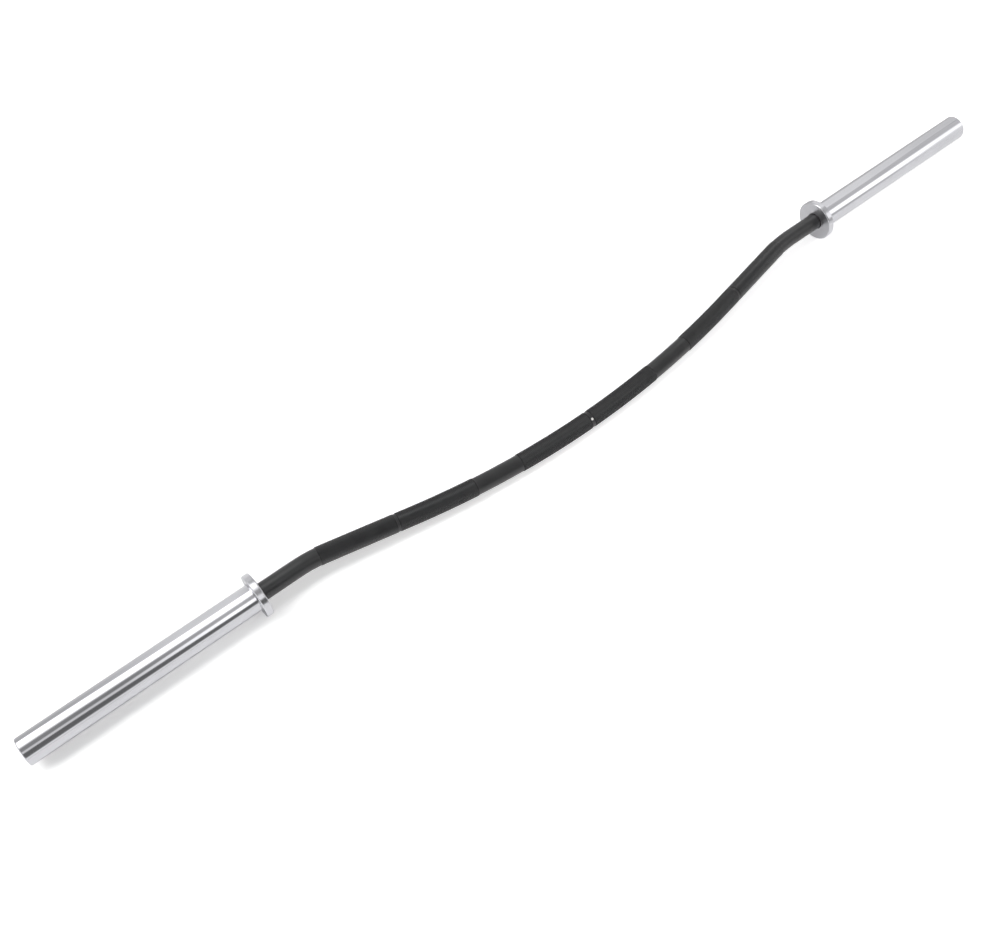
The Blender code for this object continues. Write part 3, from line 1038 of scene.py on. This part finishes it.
def knurl_bands():
    """Name, start, end and share of the knurl's depth of each band."""
    middle = CENTRE_RING_WIDTH / 2
    ring_in = RING_MARK_PLACE - RING_MARK_WIDTH / 2
    ring_out = RING_MARK_PLACE + RING_MARK_WIDTH / 2
    bands = []
    for name, side in SIDES.items():
        for part, start, end, share in (
            ("centre_knurl", middle, CENTRE_KNURL_END, 1.0),
            ("inner_knurl", SIDE_KNURL_START, ring_in, 0.75),
            ("outer_knurl", ring_out, SIDE_KNURL_END, 0.45),
        ):
            low, high = sorted((side * start, side * end))
            bands.append((f"{name}_{part}", low, high, share))
    return bands


def points_of(parts):
    """The points among parts of a bmesh."""
    return [part for part in parts if isinstance(part, bmesh.types.BMVert)]


def set_radius(verts, radius):
    """Move points of a straight band to a radius about the X axis."""
    for vert in verts:
        scale = radius / math.hypot(vert.co.y, vert.co.z)
        vert.co.y *= scale
        vert.co.z *= scale


def knurl_band(start, end, depth, sizes):
    """Knurl one band of the straight shaft, as a closed sleeve on its core.

    A grid is rolled into a tube. Its corners and the middles of its cells lie in the
    grooves, and the middle of each grid line is raised into a diamond's blunt top.
    """
    pitch = math.tau * KNURL_R / sizes.knurl_rows
    cells = round((end - start) / (pitch / math.tan(sizes.knurl_angle)))
    groove_r = KNURL_R - depth
    core_r = SHAFT_R - FIT_GAP / 3
    flat = sizes.knurl_flat

    bm = bmesh.new()
    bmesh.ops.create_grid(bm, x_segments=cells, y_segments=sizes.knurl_rows, size=0.5)
    for vert in bm.verts:
        angle = math.tau * vert.co.y
        vert.co = (
            start + (end - start) * (vert.co.x + 0.5),
            groove_r * math.cos(angle),
            groove_r * math.sin(angle),
        )
    bmesh.ops.remove_doubles(bm, verts=bm.verts, dist=WELD)
    ends = [edge for edge in bm.edges if edge.is_boundary]
    lines = [edge for edge in bm.edges if not edge.is_boundary]
    middles = bmesh.ops.poke(bm, faces=bm.faces, offset=0, center_mode="MEAN")
    set_radius(middles["verts"], groove_r)
    split = bmesh.ops.subdivide_edges(bm, edges=lines, cuts=1)["geom_inner"]
    tops = points_of(split)
    set_radius(tops, groove_r + depth / (1 - flat / 100))
    bmesh.ops.bevel(
        bm,
        geom=tops,
        affect="VERTICES",
        offset=flat,
        offset_type="PERCENT",
        segments=1,
        profile=0.5,
        material=-1,
    )

    rims = bmesh.ops.extrude_edge_only(bm, edges=ends)["geom"]
    set_radius(points_of(rims), core_r)
    loops = [edge for edge in bm.edges if edge.is_boundary]
    bridge = bmesh.ops.bridge_loops(bm, edges=loops)["edges"]
    bmesh.ops.subdivide_edges(bm, edges=bridge, cuts=int((end - start) / SHAFT_ROW))
    bmesh.ops.recalc_face_normals(bm, faces=bm.faces)

    tip = bm.verts.layers.float.new("tip")
    for vert in bm.verts:
        height = math.hypot(vert.co.y, vert.co.z) - groove_r
        vert[tip] = max(0.0, height / depth)
    return bm


class BAR_OT_knurl(bpy.types.Operator):
    """Knurl the six bands of the shaft, and bend them with it"""

    bl_idname = "buffalo_bar.knurl"
    bl_label = "Knurling"

    def execute(self, context):
        finish = black_oxide("knurled_oxide", context.scene.bar_finishes.oxide, True)
        sizes = context.scene.bar_sizes
        for name, start, end, share in knurl_bands():
            bm = knurl_band(start, end, sizes.knurl_depth * share, sizes)
            bend(bm)
            finish_piece(bm, name, finish, "bar", [])
        return {"FINISHED"}


class BAR_OT_centre_mark(bpy.types.Operator):
    """Turn the white plug that marks the middle of the shaft"""

    bl_idname = "buffalo_bar.centre_mark"
    bl_label = "Centre mark"

    def execute(self, context):
        dome_r = (MARK_R**2 + MARK_RISE**2) / (2 * MARK_RISE)
        half = math.degrees(math.asin(MARK_R / dome_r))
        top = SHAFT_R + MARK_PROUD - dome_r
        outline = [(SHAFT_R - MARK_DEPTH, 0), (SHAFT_R - MARK_DEPTH, MARK_R)]
        outline += arc(dome_r, half, 0, MARK_STEPS, (top, 0))
        outline[-1] = (outline[-1][0], 0)
        bm = lathe(outline, MARK_SIDES)
        bmesh.ops.transform(bm, matrix=mark_matrix(), verts=bm.verts)
        finish = white_acetal(context.scene.bar_finishes.mark)
        finish_piece(bm, "mark_plug", finish, "bar", ["centre_mark"])
        return {"FINISHED"}


class BAR_OT_collars(bpy.types.Operator):
    """Turn the collars that stop the plates"""

    bl_idname = "buffalo_bar.collars"
    bl_label = "Collars"

    def execute(self, context):
        seat_r = SLEEVE_R + FIT_GAP
        edge = COLLAR_CHAMFER
        outline = [
            (COLLAR_FACE, COLLAR_LIP_R + edge / 3),
            (COLLAR_FACE + edge / 3, COLLAR_LIP_R),
            (COLLAR_FACE + SEAL_SEAT_START, COLLAR_LIP_R),
            (COLLAR_FACE + SEAL_SEAT_START, SEAL_SEAT_R),
            (COLLAR_FACE + COLLAR_LIP, SEAL_SEAT_R),
            (COLLAR_FACE + COLLAR_LIP, seat_r),
            (COLLAR_BACK, seat_r),
            (COLLAR_BACK, COLLAR_R - edge),
            (COLLAR_BACK - edge, COLLAR_R),
            (COLLAR_FACE + edge, COLLAR_R),
            (COLLAR_FACE, COLLAR_R - edge),
        ]
        chrome = context.scene.bar_finishes.chrome
        finish = hard_chrome("turned_chrome", chrome, smooth=0.12, rough=0.2)
        for side in SIDES:
            bm = lathe(outline)
            break_edges(bm, context.scene.bar_sizes.deburring)
            face = bm.verts.layers.float.new("face")
            for vert in bm.verts:
                flat = min(abs(vert.co.x - COLLAR_FACE), abs(vert.co.x - COLLAR_BACK))
                vert[face] = 1.0 if flat < WELD else 0.0
            end_piece(bm, side, "flange", finish, "collar")
        return {"FINISHED"}


class BAR_OT_sleeves(bpy.types.Operator):
    """Turn the sleeves that the plates slide on, with the seats of their end caps"""

    bl_idname = "buffalo_bar.sleeves"
    bl_label = "Sleeves"

    def execute(self, context):
        seat_r = CAP_R + FIT_GAP
        groove_r = CAP_RING_R + FIT_GAP
        seat = CAP_START - FIT_GAP
        groove_start = CAP_RING_START - FIT_GAP
        groove_end = CAP_RING_END + FIT_GAP
        edge = SLEEVE_EDGE
        outline = [
            (SLEEVE_START, SLEEVE_BORE_R),
            (seat, SLEEVE_BORE_R),
            (seat, seat_r),
            (groove_start, seat_r),
            (groove_start, groove_r),
            (groove_end, groove_r),
            (groove_end, seat_r),
            (SLEEVE_END - edge / 3, seat_r),
            (SLEEVE_END, seat_r + edge / 3),
        ]
        centre = (SLEEVE_END - edge, SLEEVE_R - edge)
        outline += arc(edge, 0, 90, SLEEVE_EDGE_STEPS, centre)
        outline += [
            (SLEEVE_START + FIT_GAP, SLEEVE_R),
            (SLEEVE_START, SLEEVE_R - FIT_GAP),
        ]
        chrome = context.scene.bar_finishes.chrome
        finish = hard_chrome("polished_chrome", chrome, smooth=0.07, rough=0.13)
        for side in SIDES:
            bm = lathe(outline)
            break_edges(bm, SLEEVE_DEBURRING)
            end_piece(bm, side, "tube", finish, "sleeve")
        return {"FINISHED"}


class BAR_OT_seals(bpy.types.Operator):
    """Mould the dust seals between the shaft and the collars"""

    bl_idname = "buffalo_bar.seals"
    bl_label = "Dust seals"

    def execute(self, context):
        start, end, outer_r = turned_size("right_dust_seal")
        inner_r = SHAFT_R + FIT_GAP
        outline = [
            (start, inner_r + SEAL_LIP_RISE),
            (start + SEAL_LIP_LENGTH, inner_r),
            (end, inner_r),
            (end, outer_r),
            (start, outer_r),
        ]
        finish = moulded_rubber(context.scene.bar_finishes.rubber)
        for side in SIDES:
            bm = lathe(outline)
            break_edges(bm, SEAL_EDGE)
            end_piece(bm, side, "dust_seal_lip", finish, "dust_seal")
        return {"FINISHED"}


class BAR_OT_bearings(bpy.types.Operator):
    """Turn the bushings and the thrust washers inside the sleeves"""

    bl_idname = "buffalo_bar.bearings"
    bl_label = "Bushings and washers"

    def execute(self, context):
        finishes = context.scene.bar_finishes
        bronze = sintered_bronze(finishes.bronze)
        zinc = zinc_plate(finishes.zinc)
        inner_r = JOURNAL_R + FIT_GAP
        for side in SIDES:
            for part, finish, slot, body in (
                ("inner_bushing", bronze, "bronze", None),
                ("outer_bushing", bronze, "bronze", None),
                ("inner_thrust_washer", zinc, "steel", "bar"),
                ("outer_thrust_washer", zinc, "steel", "bar"),
            ):
                start, end, outer_r = turned_size(f"right_{part}")
                outline = [
                    (start, inner_r),
                    (end, inner_r),
                    (end, outer_r),
                    (start, outer_r),
                ]
                bm = lathe(outline, BEARING_SIDES)
                break_edges(bm, context.scene.bar_sizes.deburring)
                end_piece(bm, side, f"{part}_turned", finish, part, body)
        return {"FINISHED"}


def retaining_ring(start, end, seat_r, free_r, lug_place, lug_r, hole_r):
    """Stamp an open spring ring with a lug and a plier hole at each side of its gap.

    seat_r is the radius that sits in the groove, and free_r the other one. The
    lugs swell past free_r: outwards on a shaft's ring, inwards on a bore's ring.
    """
    gap = RING_HALF_GAP
    lug_y = lug_place * math.cos(math.radians(gap))
    lug_z = lug_place * math.sin(math.radians(gap))
    free_start = gap + math.degrees(lug_r / free_r)
    turn = (gap, gap - 180) if free_r > seat_r else (gap - 180, gap)
    lug_edge = arc(lug_r, *turn, LUG_STEPS, (lug_y, lug_z))
    outline = arc(free_r, 360 - free_start, free_start, RING_STEPS)
    outline += lug_edge
    outline += arc(seat_r, RING_SEAT_START, 360 - RING_SEAT_START, RING_STEPS)
    outline += [(y, -z) for y, z in reversed(lug_edge)]

    bm = bmesh.new()
    loops = [outline]
    for hole_z in (lug_z, -lug_z):
        loops.append(arc(hole_r, 0, 360, LUG_HOLE_STEPS, (lug_y, hole_z))[:-1])
    edges = []
    for loop in loops:
        verts = [bm.verts.new((start, y, z)) for y, z in loop]
        edges += [bm.edges.new(pair) for pair in zip(verts, verts[1:] + verts[:1])]
    bmesh.ops.triangle_fill(bm, use_beauty=True, edges=edges)
    sheet = list(bm.faces) + list(bm.edges)
    grown = bmesh.ops.extrude_face_region(bm, geom=sheet, use_keep_orig=True)["geom"]
    bmesh.ops.translate(bm, vec=(end - start, 0, 0), verts=points_of(grown))
    close(bm)
    return bm


class BAR_OT_retaining_rings(bpy.types.Operator):
    """Stamp the retaining rings of the shaft and of the end caps"""

    bl_idname = "buffalo_bar.retaining_rings"
    bl_label = "Retaining rings"

    def execute(self, context):
        finish = phosphated_spring_steel(context.scene.bar_finishes.spring)
        for side in SIDES:
            for part, body, sizes in (
                ("shaft_retaining_ring", "bar", SHAFT_RING_SIZES),
                ("end_cap_retaining_ring", None, CAP_RING_SIZES),
            ):
                start, end, _ = turned_size(f"right_{part}")
                bm = retaining_ring(start, end, *sizes)
                break_edges(bm, context.scene.bar_sizes.deburring)
                name = f"{part}_stamped"
                end_piece(bm, side, name, finish, part, body)
        return {"FINISHED"}


class BAR_OT_end_caps(bpy.types.Operator):
    """Turn the end caps with their dish and dimple"""

    bl_idname = "buffalo_bar.end_caps"
    bl_label = "End caps"

    def execute(self, context):
        sunk = CAP_END - CAP_DISH_DEPTH
        outline = [
            (CAP_START, 0),
            (CAP_START, CAP_R),
            (CAP_END, CAP_R),
            (CAP_END, CAP_RIM_R),
            (sunk, CAP_DISH_R),
            (sunk, CAP_DIMPLE_R),
            (sunk - CAP_DIMPLE_DEPTH, 0),
        ]
        finish = zinc_plate(context.scene.bar_finishes.zinc)
        for side in SIDES:
            bm = lathe(outline)
            break_edges(bm, context.scene.bar_sizes.deburring)
            end_piece(bm, side, "end_cap_disc", finish, "end_cap")
        return {"FINISHED"}


OPERATORS = (
    BAR_OT_stage,
    BAR_OT_shaft,
    BAR_OT_knurl,
    BAR_OT_centre_mark,
    BAR_OT_collars,
    BAR_OT_sleeves,
    BAR_OT_seals,
    BAR_OT_bearings,
    BAR_OT_retaining_rings,
    BAR_OT_end_caps,
)


class BAR_PT_panel(bpy.types.Panel):
    """Sizes, finishes and pieces of the bar"""

    bl_idname = "BAR_PT_panel"
    bl_label = "Buffalo Bar"
    bl_space_type = "VIEW_3D"
    bl_region_type = "UI"
    bl_category = "Bar"

    def draw(self, context):
        for group in GROUPS:
            box = self.layout.box()
            settings = getattr(context.scene, group)
            for name in settings.__annotations__:
                box.prop(settings, name)
        for operator in OPERATORS:
            self.layout.operator(operator.bl_idname)


GROUPS = {
    "bar_sizes": BarSizes,
    "bar_finishes": BarFinishes,
    "bar_studio": BarStudio,
}


def register():
    """Register the settings, the operators and the panel."""
    for name, group in GROUPS.items():
        bpy.utils.register_class(group)
        setattr(bpy.types.Scene, name, PointerProperty(type=group))
    for made in (*OPERATORS, BAR_PT_panel):
        bpy.utils.register_class(made)


def unregister():
    """Take back what register added."""
    for made in reversed((*OPERATORS, BAR_PT_panel)):
        bpy.utils.unregister_class(made)
    for name, group in reversed(GROUPS.items()):
        delattr(bpy.types.Scene, name)
        bpy.utils.unregister_class(group)


def main():
    """Make the bar and its studio."""
    register()
    bpy.ops.buffalo_bar.stage()
    bpy.ops.buffalo_bar.shaft()
    bpy.ops.buffalo_bar.knurl()
    bpy.ops.buffalo_bar.centre_mark()
    bpy.ops.buffalo_bar.collars()
    bpy.ops.buffalo_bar.sleeves()
    bpy.ops.buffalo_bar.seals()
    bpy.ops.buffalo_bar.bearings()
    bpy.ops.buffalo_bar.retaining_rings()
    bpy.ops.buffalo_bar.end_caps()


if __name__ == "__main__":
    main()
